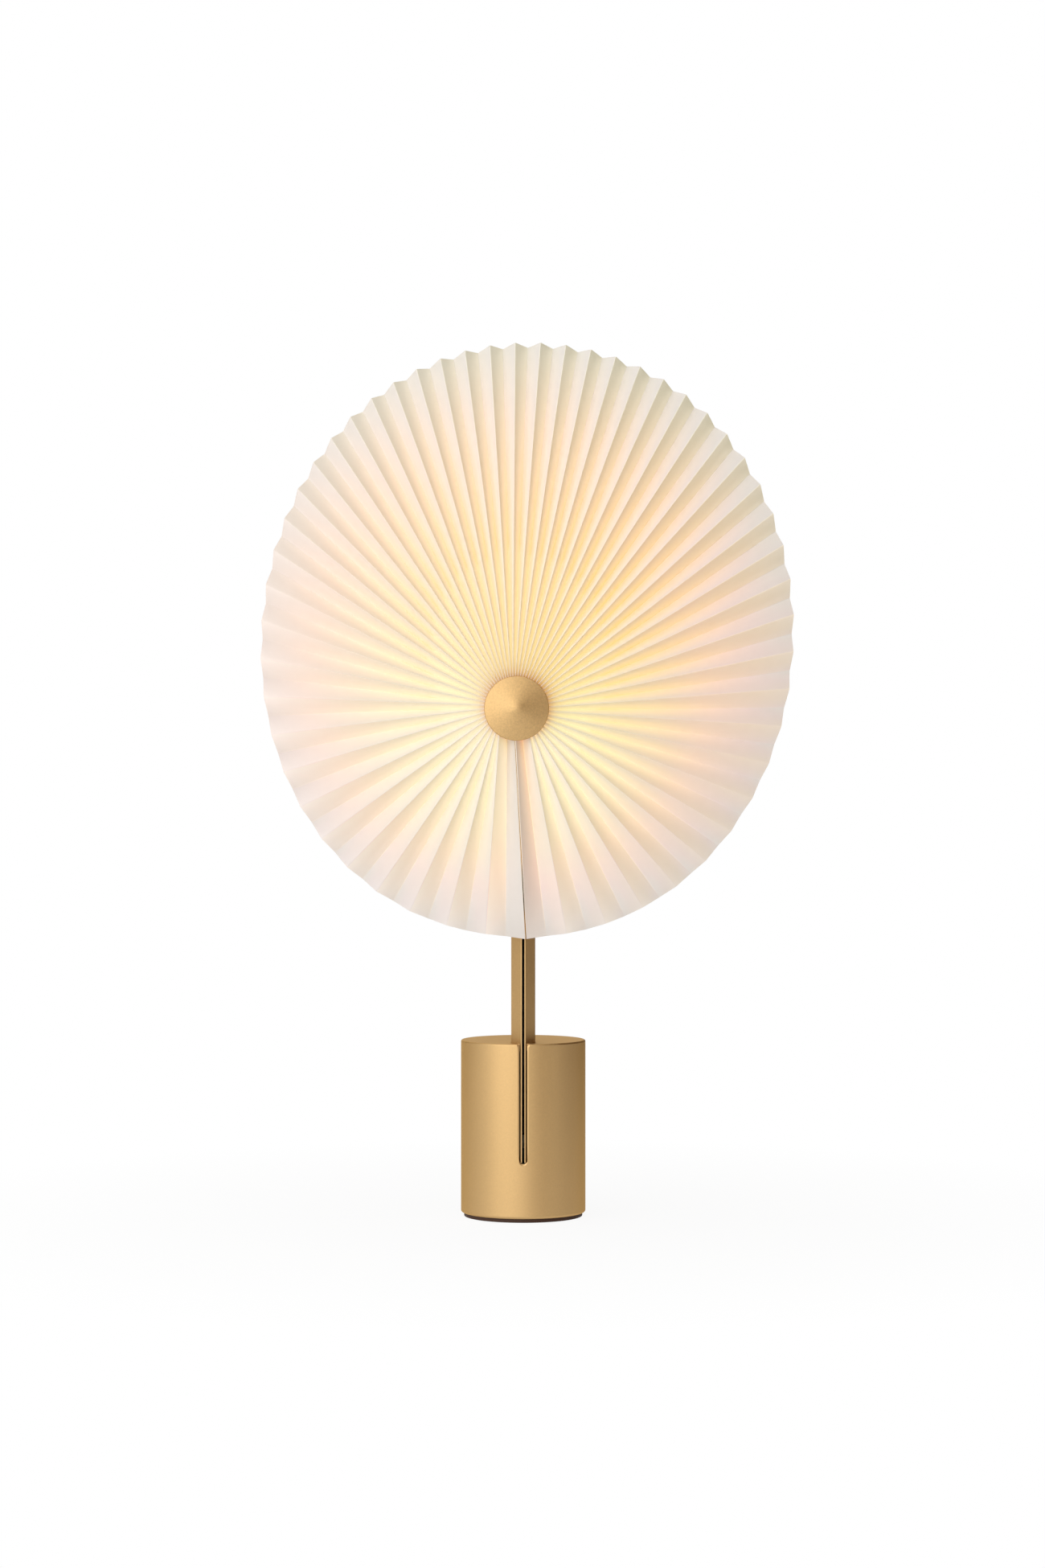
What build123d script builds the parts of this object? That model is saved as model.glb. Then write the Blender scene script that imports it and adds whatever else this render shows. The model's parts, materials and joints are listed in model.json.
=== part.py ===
from build123d import *
import os
from math import atan2, cos, degrees, pi, radians, sin, sqrt, tan

# Portable table lamp. A weighted drum holds a slit stem, and the stem carries a light and,
# in front of it, a pleated rosette that turns on a spindle.
# Millimetres, +Z up. The front of the lamp looks along -Y, and the drum stands on Z = 0
# with its axis on the origin.

os.makedirs("parts", exist_ok=True)

# Drum
drum_d = 52.0
drum_top = 73.5
drum_wall = 2.2
drum_lid = 3.0
rim_round = 0.7
heel_round = 1.0
step_depth = 0.5
foot_t = 1.6
foot_inset = 1.3
foot_round = 0.35
plate_t = 1.6
ballast_t = 11.0
plate_gap = 0.1
ballast_gap = 0.4
ballast_chamfer = 0.8

# How far a cutter runs past what it cuts
past = 1.0

# Slot in the front of the drum
slot_w = 3.25
slot_end = 24.2
slot_flare = 1.5
slot_bevel = (0.6, 0.3)

# Stem profile, seen from above
slit_w = 0.9
lip_w = 0.65
lip_len = 2.0
lip_setback = 0.6
lip_round = 0.25
stem_w = 9.9
stem_slant = 4.8
stem_side = 6.0
stem_wall = 1.0
stem_round = 0.4
stem_fit = 0.12
stem_end_gap = 0.6
stem_open_h = 34.0
stem_open_y = 0.8

# Rosette: a squared oval whose middle lies off the hub
hub_x = -2.7
hub_z = 211.0
oval_long = 241.8
oval_short = 216.8
oval_power = 2.06
oval_lean = 5.2
oval_off = (4.3, 27.6)
seam_turn = -2.3
pleats = 53
panel_w = 8.1
sheet_t = 0.3
gather_r = 11.4
fan_r = 14.8
fan_from = 21.8
fan_to = 345.6
fan_seam = 2.2
seam_gap = 0.5
fan_sway = (0.049, -0.011)
# How many pleats the crowding moves along, as sine and cosine shares of one, two and three turns
crowding = ((-3.84, -0.49), (0.78, 0.17), (-0.185, -0.024))
tip_reach = 0.12
flattest = 1.2
stations = (0.0, 0.22, 0.48, 0.72, 0.89, 1.0)

# Hub
cap_d = 26.4
cap_rim = 1.2
cap_rise = 3.4
cap_wall = 1.0
cap_inside = 0.3
cap_round = 0.45
cap_tip_ball = 8.0
cap_plug = (0.9, 3.0)
spindle_d = 6.0
turn_fit = 0.1
spindle_short = 0.8
soft_gap = 0.3
shade_gap = 0.5
washer_t = 0.6
washer_d = 18.0
flange_t = 0.85
ring_t = 0.9
ring_inset = 0.2
web_t = 3.4
core_bore = 17.0
spring_t = 0.5
spring_rise = 0.6
spring_d = 14.0
nut_af = 10.0
nut_t = 3.0

# Light behind the stem
block_d = 25.0
block_front = 0.4
boss_d = 14.0
tongue_len = 14.0
tongue_root = 4.0
block_past = 0.3
block_round = 0.5
spindle_seat = 10.0
spindle_end = 0.5
lead_way = 5.0
lead_rise = 3.0
lead_rise_low = 7.0
lead_below_open = 4.0
dish_d = 50.2
dish_wall = 1.2
dish_side = 2.1
dish_gap = 0.8
dish_depth = 10.9
dish_round = 2.6
ledge = 0.8
ledge_fit = 0.1
led_board_fit = 0.2
led_board_bore = 0.3
emitter_round = 0.4
diffuser_round = 0.35
diffuser_fit = 0.2
diffuser_t = 1.5
led_board_t = 1.2
emitters = 12
emitter = (2.8, 0.8)
emitter_r = 18.0
screw_pitch_r = 4.2
back_cap_rise = 3.2
pan_head = (4.6, 1.6, 0.5)
dish_screw = (3.0, 9.0)

# Lead from the driver to the light
lead_d = 2.4
lead_y = 2.6
lead_turn = 8.0
lead_slot = 3.8
bend_share = 0.45

# Power pack
cell_d = 18.2
cell_len = 50.0
cell_pitch = 19.0
cell_y = 5.5
cell_round = 0.6
crimp = (3.0, 0.8, 0.35)
tab_t = 0.3
tab_w = 6.0
tab_foot = 8.0
tab_past = 3.5
tray_t = 2.0
tray_front = 4.0
kerb = (16.0, 1.2, 2.0)
cup_wall = 1.1
cup_h = 8.0
cup_fit = 0.15
board_clear = 0.1
retainer_t = 1.8
retainer_lip = 3.0
retainer_w = 12.0
strip_clear = 0.2
pad_size = (8.0, 10.0, 2.0)
board_t = 1.2
charge_board_w = 22.0
driver_board_w = 20.0
charge_gap = 2.2
driver_gap = 1.6
board_h = 36.0
# Parts on the boards: middle across and up from the board's foot, width, height and how far they stand out
charge_chip = (-7.5, 19.8, 4.0, 4.0, 0.9)
charge_choke = (7.3, 17.3, 5.0, 5.0, 2.4)
status_light = (1.6, 0.6)
driver_choke = (-5.75, 30.55, 5.5, 5.5, 2.6)
driver_chip = (4.0, 27.8, 4.0, 4.0, 0.9)
capacitor = (6.5, 3.8, 3.2, 6.0)
choke_round = 1.1
connector_up = 13.0
connector = (6.4, 5.5, 4.6, 0.4)
usb = (8.94, 3.26, 7.3)
usb_wall = 0.3
usb_back = 1.2
usb_tongue = (0.74, 0.7, 0.6)
usb_z = 22.2
usb_fit = 0.27

# Push button in the back of the drum
button_d = 9.2
button_flange = 1.1
button_flange_t = 0.8
button_proud = 0.4
button_travel = 0.6
button_gap = 0.15
button_z = 44.0
switch_size = (6.0, 3.4)
plunger_d = 3.0
plunger_fit = 0.2
plunger_seat = 1.6
plunger_end = 0.1
switch_round = 0.5
button_round = 0.3
button_dish = (30.0, 0.2)
button_back_gap = 0.2
pipe_d = 2.2
pipe_z = 33.0
pipe_inset = 0.1

# Fasteners
screw_d = 3.0
screw_fit = 0.05
hole_fit = 0.2
head_clear = 0.1
drive_r = 1.0
drive_depth = 1.2
tie_grip = 6.0
tie_tap = 6.5
tie_at = (11.2, -15.5)
socket_half = 14.0
socket_h = 10.5
socket_depth = 10.0
socket_wall = 4.1
socket_round = 1.2
lid_screw_at = (8.3, -10.6)
lid_screw = (2.5, 4.5, 2.0, 2.0)
lid_screw_slot = (0.6, 0.8)
set_screw_x = 2.4
set_screw_key = (0.75, 1.4)
set_screw_inset = 0.2

# Places worked out from the sizes above
drum_r = drum_d / 2
bore_r = drum_r - drum_wall
plate_r = bore_r + step_depth - plate_gap
plate_top = foot_t + plate_t
ballast_top = plate_top + ballast_t
lid_z = drum_top - drum_lid
lip_y = -drum_r + lip_setback
lip_out = slit_w / 2 + lip_w
root_y = lip_y + lip_len
corner_y = root_y + stem_slant
back_y = corner_y + stem_side
stem_foot = slot_end + stem_end_gap
stem_mid_y = back_y - stem_wall - lead_y
block_y = lip_y + block_front
flange_y = block_y - washer_t
web_y = flange_y - web_t
gather_y = flange_y - flange_t - shade_gap
shade_y = gather_y - panel_w / 2
ring_y = gather_y - panel_w - shade_gap
cap_y = ring_y - ring_t
mouth_y = back_y + dish_gap
dish_back = mouth_y + dish_depth
floor_y = dish_back - dish_wall
cell_z = ballast_top + tray_t + tab_t
board_z = ballast_top + tray_t
cell_top = cell_z + cell_len + tab_t
connector_z = board_z + connector_up
charge_y = cell_y + cell_d / 2 + charge_gap
driver_y = cell_y - cell_d / 2 - driver_gap
socket_back = back_y + socket_wall
socket_z = lid_z - socket_h
low = (Align.CENTER, Align.CENTER, Align.MIN)


def post(radius, z0, z1, x=0.0, y=0.0):
    """Upright cylinder."""
    return Pos(x, y, z0) * Cylinder(radius, z1 - z0, align=low)


def rod(radius, y0, y1, x=hub_x, z=hub_z):
    """Cylinder that runs front to back."""
    return Pos(x, y0, z) * Rot(-90, 0, 0) * Cylinder(radius, y1 - y0, align=low)


def bar(x0, x1, y0, y1, z0, z1):
    """Box between two corners."""
    return Pos(x0, y0, z0) * Box(x1 - x0, y1 - y0, z1 - z0, align=(Align.MIN,) * 3)


def edges_at(shape, axis, place, kind=GeomType.CIRCLE):
    """Edges of one kind whose middle lies at a place along an axis."""
    found = shape.edges().filter_by(kind)
    return found.filter_by_position(axis, place - 0.01, place + 0.01)


def hub_turned(points):
    """Solid turned about the hub's axis from (radius, y) points."""
    line = Polyline(*[(r, y) for r, y in points], close=True)
    return Pos(hub_x, 0, hub_z) * revolve(make_face(line), Axis.Y)


def save(name, shape):
    """One file per piece. A group of like solids goes out as a compound."""
    solids = shape.solids()
    whole = solids[0] if len(solids) == 1 else Compound(children=list(solids))
    export_step(whole, f"parts/{name}.step")


def stem_outline():
    """Outer outline of the stem, with the two lips and the slit closed over."""
    right = [(lip_out, lip_y), (lip_out, root_y), (stem_w / 2, corner_y), (stem_w / 2, back_y)]
    left = [(-x, y) for x, y in reversed(right)]
    return make_face(Polyline(*right, *left, close=True))


def stem_hollow():
    """Inner outline: the walls, one wall thickness in from the slanted and straight faces."""
    slope = stem_slant / (stem_w / 2 - lip_out)
    drop = stem_wall * sqrt(1 + slope * slope)
    inner_x = stem_w / 2 - stem_wall
    apex_y = root_y + drop + slope * (slit_w / 2 - lip_out)
    shoulder_y = root_y + drop + slope * (inner_x - lip_out)
    right = [(slit_w / 2, apex_y), (inner_x, shoulder_y), (inner_x, back_y - stem_wall)]
    left = [(-x, y) for x, y in reversed(right)]
    return make_face(Polyline(*right, *left, close=True))


def stem_hole(z0, z1):
    """Cutter that lets the stem through with its fit."""
    return Pos(0, 0, z0) * extrude(offset(stem_outline(), stem_fit, kind=Kind.INTERSECTION), z1 - z0)


# Drum and what stands in it
def foot_pad():
    pad = post(drum_r - foot_inset, 0, foot_t)
    return fillet(edges_at(pad, Axis.Z, 0), foot_round)


def tie_posts(radius, z0, z1):
    return [post(radius, z0, z1, side * tie_at[0], tie_at[1]) for side in (-1, 1)]


def base_plate():
    plate = post(plate_r, foot_t, plate_top)
    for side in (-1, 1):
        sink = Pos(side * tie_at[0], tie_at[1], foot_t)
        plate -= sink * Cone(screw_d, screw_d / 2 + screw_fit, screw_d / 2, align=low)
    for hole in tie_posts(screw_d / 2 + screw_fit, foot_t, plate_top):
        plate -= hole
    return plate


def ballast_weight():
    weight = post(bore_r - ballast_gap, plate_top, ballast_top)
    weight = chamfer(edges_at(weight, Axis.Z, ballast_top), ballast_chamfer)
    for hole in tie_posts(screw_d / 2 + hole_fit, plate_top, ballast_top):
        weight -= hole
    return weight


def tie_screws():
    """Countersunk screws from the base plate up into the stem socket."""
    screws = []
    for side in (-1, 1):
        at = Pos(side * tie_at[0], tie_at[1], foot_t)
        head = at * Cone(screw_d - head_clear, screw_d / 2, screw_d / 2 - head_clear, align=low)
        drive = at * extrude(RegularPolygon(drive_r, 6, major_radius=False), drive_depth)
        shank_z = foot_t + screw_d / 2 - head_clear
        shank = post(screw_d / 2, shank_z, socket_z + tie_grip, side * tie_at[0], tie_at[1])
        screws.append(head + shank - drive)
    return Compound(children=screws)


def base_shell():
    shell = post(drum_r, foot_t, drum_top)
    shell = fillet(edges_at(shell, Axis.Z, drum_top), rim_round)
    shell = fillet(edges_at(shell, Axis.Z, foot_t), heel_round)
    shell -= post(bore_r, foot_t, lid_z)
    shell -= post(bore_r + step_depth, foot_t, plate_top)
    # The slot has a round end, and its upper corners roll outwards into the rim
    wall = drum_wall + lip_setback
    half = slot_w / 2
    outline = make_face(
        Line((-half, slot_end + half), (-half, drum_top - slot_flare))
        + JernArc((-half, drum_top - slot_flare), (0, 1), slot_flare, 90)
        + Line((-half - slot_flare, drum_top), (half + slot_flare, drum_top))
        + JernArc((half, drum_top - slot_flare), (0, 1), slot_flare, -90)
        + Line((half, drum_top - slot_flare), (half, slot_end + half))
        + RadiusArc((half, slot_end + half), (-half, slot_end + half), half)
    )
    shell -= extrude(Plane.XZ.offset(drum_r + lip_setback) * outline, -wall - lip_setback)
    wide, deep = slot_bevel
    edge_y = sqrt(drum_r ** 2 - half ** 2)
    shell -= extrude(Plane.XZ.offset(edge_y - deep) * outline, 2 * deep, taper=-degrees(atan2(wide, deep)))
    shell -= stem_hole(lid_z, drum_top)
    # Back openings
    shell -= rod(button_d / 2 + button_gap, bore_r - drum_wall, drum_r + past, 0, button_z)
    shell -= rod(pipe_d / 2 + screw_fit, bore_r - drum_wall, drum_r + past, 0, pipe_z)
    inlet = RectangleRounded(usb[0] + 2 * usb_fit, usb[1] + 2 * usb_fit, usb[1] / 2)
    shell -= extrude(Plane.XZ.offset(-drum_r - past) * Pos(0, usb_z) * inlet, 2 * drum_wall + past)
    for side in (-1, 1):
        tap = lid_screw[0] / 2 + screw_fit
        shell -= post(tap, lid_z, lid_z + lid_screw[3], side * lid_screw_at[0], lid_screw_at[1])
    return shell


def stem_socket():
    """Block under the lid: grips the stem and takes the tie screws."""
    block = bar(-socket_half, socket_half, socket_back - socket_depth, socket_back, socket_z, lid_z)
    block = fillet(block.edges().filter_by(Axis.Z), socket_round)
    block -= stem_hole(socket_z, lid_z)
    for side in (-1, 1):
        x, y = lid_screw_at
        block -= post(lid_screw[0] / 2 + screw_fit, socket_z, lid_z, side * x, y)
        tap = rod(screw_d / 2 + screw_fit, back_y, socket_back, side * set_screw_x, socket_z + socket_h / 2)
        block -= tap
    for hole in tie_posts(screw_d / 2 + screw_fit, socket_z, socket_z + tie_tap):
        block -= hole
    return block


def socket_screws():
    """Cheese-head screws up through the socket into the lid."""
    size, head_d, head_h, grip = lid_screw
    slot, slot_h = lid_screw_slot
    foot = socket_z - head_h
    screws = []
    for side in (-1, 1):
        x, y = side * lid_screw_at[0], lid_screw_at[1]
        shank = post(size / 2, socket_z, lid_z + grip - head_clear, x, y)
        head = post(head_d / 2, foot, socket_z, x, y)
        drive = bar(x - head_d, x + head_d, y - slot / 2, y + slot / 2, foot, foot + slot_h)
        screws.append(shank + head - drive)
    return Compound(children=screws)


def stem_set_screws():
    """Hexagon socket set screws that press on the back of the stem."""
    screws = []
    for side in (-1, 1):
        x, z = side * set_screw_x, socket_z + socket_h / 2
        body = rod(screw_d / 2, back_y, socket_back - set_screw_inset, x, z)
        key = Pos(x, z) * RegularPolygon(set_screw_key[0], 6, major_radius=False)
        screws.append(body - extrude(Plane.XZ.offset(-socket_back) * key, set_screw_key[1]))
    return Compound(children=screws)


def stem():
    """Extruded profile. Its top is coped round the head block, its foot is cut open at the back."""
    outline = stem_outline()
    corners = [v for v in outline.vertices() if abs(v.X) > stem_w / 2 - 0.01]
    outline = fillet(corners, stem_round)
    section = outline - stem_hollow() - Pos(0, lip_y + stem_slant) * Rectangle(slit_w, 2 * stem_slant)
    section = fillet([v for v in section.vertices() if abs(v.Y - lip_y) < 0.01], lip_round)
    body = Pos(0, 0, stem_foot) * extrude(section, hub_z - stem_foot)
    body -= rod(block_d / 2 + stem_fit, lip_y - past, back_y + past)
    body -= bar(
        -stem_w, stem_w, corner_y + stem_open_y, back_y + past, stem_foot - past, stem_foot + stem_open_h
    )
    notch_z = hub_z - block_d / 2 - lead_turn
    body -= bar(-lead_slot / 2, lead_slot / 2, back_y - 1.5 * stem_wall, back_y + past, notch_z, hub_z)
    return body.solids().sort_by(SortBy.VOLUME)[-1]


# Power pack
def cell_centres():
    return [(side * cell_pitch / 2, cell_y) for side in (-1, 1)]


def cell_holder():
    """Tray on the ballast with a low cup round each cell and a kerb along each board."""
    tray = post(bore_r - ballast_gap, ballast_top, board_z)
    tray -= bar(-drum_r, drum_r, -drum_r, driver_y - board_t - tray_front, ballast_top, board_z)
    cup_r = cell_d / 2 + cup_fit
    for x, y in cell_centres():
        tray += post(cup_r + cup_wall, board_z, board_z + cup_h, x, y)
    for x, y in cell_centres():
        tray -= post(cup_r, board_z, board_z + cup_h, x, y)
    limit = bar(-drum_r, drum_r, -drum_r, charge_y - board_clear, ballast_top, board_z + cup_h)
    tray = (tray & limit) + (tray & bar(-drum_r, drum_r, 0, drum_r, ballast_top, board_z))
    width, thick, height = kerb
    for y in (charge_y + board_t + board_clear, driver_y - board_t - board_clear - thick):
        tray += bar(-width / 2, width / 2, y, y + thick, board_z, board_z + height)
    return tray


def battery_cells():
    cells = []
    for x, y in cell_centres():
        can = post(cell_d / 2, cell_z, cell_z + cell_len, x, y)
        can = chamfer(can.edges().filter_by(GeomType.CIRCLE), cell_round)
        below, width, depth = crimp
        crimp_z = cell_z + cell_len - below
        ring = post(cell_d / 2 + past, crimp_z - width, crimp_z, x, y)
        cells.append(can - (ring - post(cell_d / 2 - depth, crimp_z - width, crimp_z, x, y)))
    return Compound(children=cells)


def cell_tabs():
    """Nickel strips: one joins the cells at the top, one lies under each cell."""
    top_z = cell_z + cell_len
    reach = cell_pitch / 2 + tab_past
    top = bar(-reach, reach, cell_y - tab_w / 2, cell_y + tab_w / 2, top_z, top_z + tab_t)
    low_tabs = [
        bar(x - tab_w / 2, x + tab_w / 2, y - tab_foot / 2, y + tab_foot / 2, cell_z - tab_t, cell_z)
        for x, y in cell_centres()
    ]
    return Compound(children=[top] + low_tabs)


def cell_retainer():
    """Plate with two shallow caps over the tops of the cells."""
    half, half_w = cell_pitch / 2, retainer_w / 2
    under = cell_top - retainer_lip
    plate = bar(-half, half, cell_y - half_w, cell_y + half_w, cell_top, cell_top + retainer_t)
    for x, y in cell_centres():
        plate += post(cell_d / 2 + cup_fit + cup_wall, under, cell_top + retainer_t, x, y)
    for x, y in cell_centres():
        plate -= post(cell_d / 2 + cup_fit, under, cell_top, x, y)
    half_strip = tab_w / 2 + strip_clear
    return plate - bar(-half, half, cell_y - half_strip, cell_y + half_strip, under, cell_top)


def retainer_pad():
    past_cell, width, corner = pad_size
    reach = cell_pitch / 2 + past_cell / 2
    pad = bar(-reach, reach, cell_y - width / 2, cell_y + width / 2, cell_top + retainer_t, lid_z)
    return fillet(pad.edges().filter_by(Axis.Z), corner)


def on_board(face_y, side, place):
    """Box on the face of a board: side is 1 for the back face and -1 for the front face."""
    x, up, width, height, proud = place
    z = board_z + up
    y0, y1 = sorted((face_y, face_y + side * proud))
    return bar(x - width / 2, x + width / 2, y0, y1, z - height / 2, z + height / 2)


def charge_board():
    half = charge_board_w / 2
    return bar(-half, half, charge_y, charge_y + board_t, board_z, board_z + board_h)


def charge_parts():
    """Charge chip, choke and the status light, on the side that faces the back wall."""
    y = charge_y + board_t
    size, proud = status_light
    chip = on_board(y, 1, charge_chip)
    choke = fillet(on_board(y, 1, charge_choke).edges().filter_by(Axis.Y), choke_round)
    status = on_board(y, 1, (0, pipe_z - board_z, size, size, proud))
    return Compound(children=[chip, choke, status])


def usb_c_inlet():
    """Receptacle shell with its tongue."""
    y = charge_y + board_t
    width, height, length = usb

    def oval(grow):
        return RectangleRounded(width + grow, height + grow, (height + grow) / 2 - 0.01)

    front = Plane.XZ.offset(-y - length)
    shell = extrude(front * Pos(0, usb_z) * oval(0), length)
    shell -= extrude(front * Pos(0, usb_z) * oval(-2 * usb_wall), length - usb_back)
    share, thick, short = usb_tongue
    half = width * share / 2
    front_y = y + length - short
    return shell + bar(-half, half, y + usb_back / 2, front_y, usb_z - thick / 2, usb_z + thick / 2)


def light_pipe():
    return rod(pipe_d / 2, charge_y + board_t + status_light[1], drum_r - pipe_inset, 0, pipe_z)


def switch_body():
    y = charge_y + board_t
    side, depth = switch_size
    body = bar(-side / 2, side / 2, y, y + depth, button_z - side / 2, button_z + side / 2)
    body = fillet(body.edges().filter_by(Axis.Y), switch_round)
    return body - rod(plunger_d / 2 + plunger_fit, y + depth - plunger_seat, y + depth, 0, button_z)


def button_back():
    """Where the flange of the push button starts, behind the drum's wall."""
    reach = button_d / 2 + button_flange
    return sqrt(bore_r ** 2 - reach ** 2) - button_back_gap - button_flange_t


def switch_plunger():
    seat = charge_y + board_t + switch_size[1] - plunger_seat
    return rod(plunger_d / 2, seat + button_travel + plunger_end, button_back(), 0, button_z)


def power_button():
    back = button_back()
    stalk = rod(button_d / 2, back, drum_r + button_proud, 0, button_z)
    stalk = fillet(edges_at(stalk, Axis.Y, drum_r + button_proud), button_round)
    ball, dip = button_dish
    dish = Pos(0, drum_r + button_proud + ball - dip, button_z) * Sphere(ball)
    return (stalk - dish) + rod(button_d / 2 + button_flange, back, back + button_flange_t, 0, button_z)


def driver_board():
    half = driver_board_w / 2
    return bar(-half, half, driver_y - board_t, driver_y, board_z, board_z + board_h)


def driver_parts():
    """Choke, driver chip and a capacitor on the side that faces the stem."""
    y = driver_y - board_t
    choke = fillet(on_board(y, -1, driver_choke).edges().filter_by(Axis.Y), choke_round)
    x, up, can_d, can_h = capacitor
    can = post(can_d / 2, board_z + up, board_z + up + can_h, x, y - can_d / 2)
    return Compound(children=[choke, on_board(y, -1, driver_chip), can])


def lead_connector():
    width, height, depth, corner = connector
    y = driver_y - board_t
    body = bar(-width / 2, width / 2, y - depth, y, connector_z, connector_z + height)
    return fillet(body.edges().filter_by(Axis.Z), corner)


# Light and head
def dish_screw_places():
    turns = [2 * pi * k / 3 for k in range(3)]
    return [(hub_x + screw_pitch_r * sin(turn), hub_z + screw_pitch_r * cos(turn)) for turn in turns]


def head_block():
    """Round block with a tongue that plugs into the top of the stem and a boss for the dish."""
    block = rod(block_d / 2, block_y, mouth_y + diffuser_t + block_past)
    block = fillet(edges_at(block, Axis.Y, block_y), block_round)
    block += rod(boss_d / 2, mouth_y, floor_y)
    tongue = offset(stem_hollow(), -stem_fit, kind=Kind.INTERSECTION)
    tongue_z = hub_z - block_d / 2 - tongue_len
    block += Pos(0, 0, tongue_z) * extrude(tongue, tongue_len + tongue_root)
    half = lead_slot / 2
    way_top = hub_z - block_d / 2 + lead_way
    block_back = mouth_y + diffuser_t + block_past
    block -= bar(-half, half, stem_mid_y - half, block_back + past, tongue_z - past, way_top)
    block -= rod(spindle_d / 2, block_y - past, block_y + spindle_seat + spindle_end)
    for x, z in dish_screw_places():
        block -= rod(dish_screw[0] / 2 + screw_fit, dish_back - dish_screw[1] - block_past, floor_y, x, z)
    return block


def led_housing():
    """Spun dish, open to the front, with a ledge for the diffuser."""
    dish = rod(dish_d / 2, mouth_y, dish_back)
    dish = fillet(edges_at(dish, Axis.Y, dish_back), dish_round)
    inner = dish_d / 2 - dish_side
    dish -= rod(inner, mouth_y, floor_y)
    dish -= rod(inner + ledge, mouth_y, mouth_y + diffuser_t)
    for x, z in dish_screw_places():
        dish -= rod(dish_screw[0] / 2 + hole_fit, floor_y, dish_back, x, z)
    return dish


def housing_screws():
    head_d, head_h, head_round = pan_head
    screws = []
    for x, z in dish_screw_places():
        body = rod(dish_screw[0] / 2, dish_back - dish_screw[1], dish_back, x, z)
        head = rod(head_d / 2, dish_back, dish_back + head_h, x, z)
        head = fillet(edges_at(head, Axis.Y, dish_back + head_h), head_round)
        key = Pos(x, z) * RegularPolygon(drive_r, 6, major_radius=False)
        screws.append(body + head - extrude(Plane.XZ.offset(-dish_back - head_h) * key, drive_depth))
    return Compound(children=screws)


def led_board():
    ring = rod(dish_d / 2 - dish_side - led_board_fit, floor_y - led_board_t, floor_y)
    return ring - rod(boss_d / 2 + led_board_bore, floor_y - led_board_t, floor_y)


def led_emitters():
    """Light-emitting chips in a ring, none of them in front of the lead."""
    size, height = emitter
    chip = Box(size, height, size, align=(Align.CENTER, Align.MAX, Align.CENTER))
    chip = fillet(chip.edges().filter_by(Axis.Y), emitter_round)
    chips = []
    for k in range(emitters):
        turn = 360 * (k + 0.5) / emitters
        place = Pos(hub_x, floor_y - led_board_t, hub_z) * Rot(0, turn, 0) * Pos(0, 0, emitter_r)
        chips.append(place * chip)
    return Compound(children=chips)


def diffuser_ring():
    inner = dish_d / 2 - dish_side
    ring = rod(inner + ledge - ledge_fit, mouth_y, mouth_y + diffuser_t)
    ring -= rod(block_d / 2 + diffuser_fit, mouth_y, mouth_y + diffuser_t)
    return fillet(edges_at(ring, Axis.Y, mouth_y), diffuser_round)


def cone_outer(rise):
    """Solid of a shallow cone with a thin rounded rim and a soft tip, base on Y = 0."""
    radius = cap_d / 2
    lean = atan2(rise, radius)
    tip_r = cap_tip_ball * sin(lean)
    tip_h = cap_rim + rise * (1 - tip_r / radius)
    top = tip_h + cap_tip_ball * (1 - cos(lean))
    half_way = (cap_tip_ball * sin(lean / 2), top - cap_tip_ball * (1 - cos(lean / 2)))
    outline = Polyline((0, top), (0, 0), (radius, 0), (radius, cap_rim), (tip_r, tip_h))
    outline += ThreePointArc((tip_r, tip_h), half_way, (0, top))
    face = make_face(outline)
    rim = face.vertices().filter_by(lambda v: abs(v.X - radius) < 0.01 and abs(v.Y - cap_rim) < 0.01)
    return revolve(fillet(rim, cap_round), Axis.Y), top


def cone_cover(rise, plug=None):
    """Shallow cone, hollow behind, with a ring below it that plugs into a bore."""
    outer, top = cone_outer(rise)
    hollow_r = cap_d / 2 - cap_wall
    side = [(0, 0), (hollow_r, 0), (hollow_r, cap_rim - cap_inside), (0, top - cap_wall)]
    hollow = revolve(make_face(Polyline(*side, close=True)), Axis.Y)
    if not plug:
        return outer - hollow
    plug_r, plug_wall, plug_h = plug
    tube = Rot(-90, 0, 0) * (Cylinder(plug_r, 2 * plug_h) - Cylinder(plug_r - plug_wall, 2 * plug_h))
    below = Pos(0, -plug_h, 0) * Box(2 * plug_r, 2 * plug_h, 2 * plug_r)
    return outer - (hollow - tube) + (tube & below)


def rear_cap():
    return Pos(hub_x, dish_back, hub_z) * cone_cover(back_cap_rise)


# Rosette and what it turns on
def hub_spindle():
    end = cap_y + spindle_short
    shaft = rod(spindle_d / 2, end, block_y + spindle_seat)
    return chamfer(edges_at(shaft, Axis.Y, end), spindle_end)


def friction_washer():
    ring = rod(washer_d / 2, flange_y, block_y)
    return ring - rod(spindle_d / 2 + turn_fit, flange_y, block_y)


def hub_core():
    """Drum with a rear flange. The inner ends of the pleats are bonded round it."""
    return hub_turned([
        (spindle_d / 2 + turn_fit, flange_y),
        (cap_d / 2, flange_y),
        (cap_d / 2, flange_y - flange_t),
        (gather_r - soft_gap, flange_y - flange_t),
        (gather_r - soft_gap, ring_y),
        (core_bore / 2, ring_y),
        (core_bore / 2, web_y),
        (spindle_d / 2 + turn_fit, web_y),
    ])


def front_clamp_ring():
    ring = rod(cap_d / 2 - ring_inset, cap_y, ring_y)
    return ring - rod(core_bore / 2, cap_y, ring_y)


def disc_spring():
    """Coned disc spring under the nut."""
    inner, outer = spindle_d / 2 + turn_fit, spring_d / 2
    return hub_turned([
        (outer, web_y),
        (outer, web_y - spring_t),
        (inner, web_y - spring_t - spring_rise),
        (inner, web_y - spring_rise),
    ])


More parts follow.
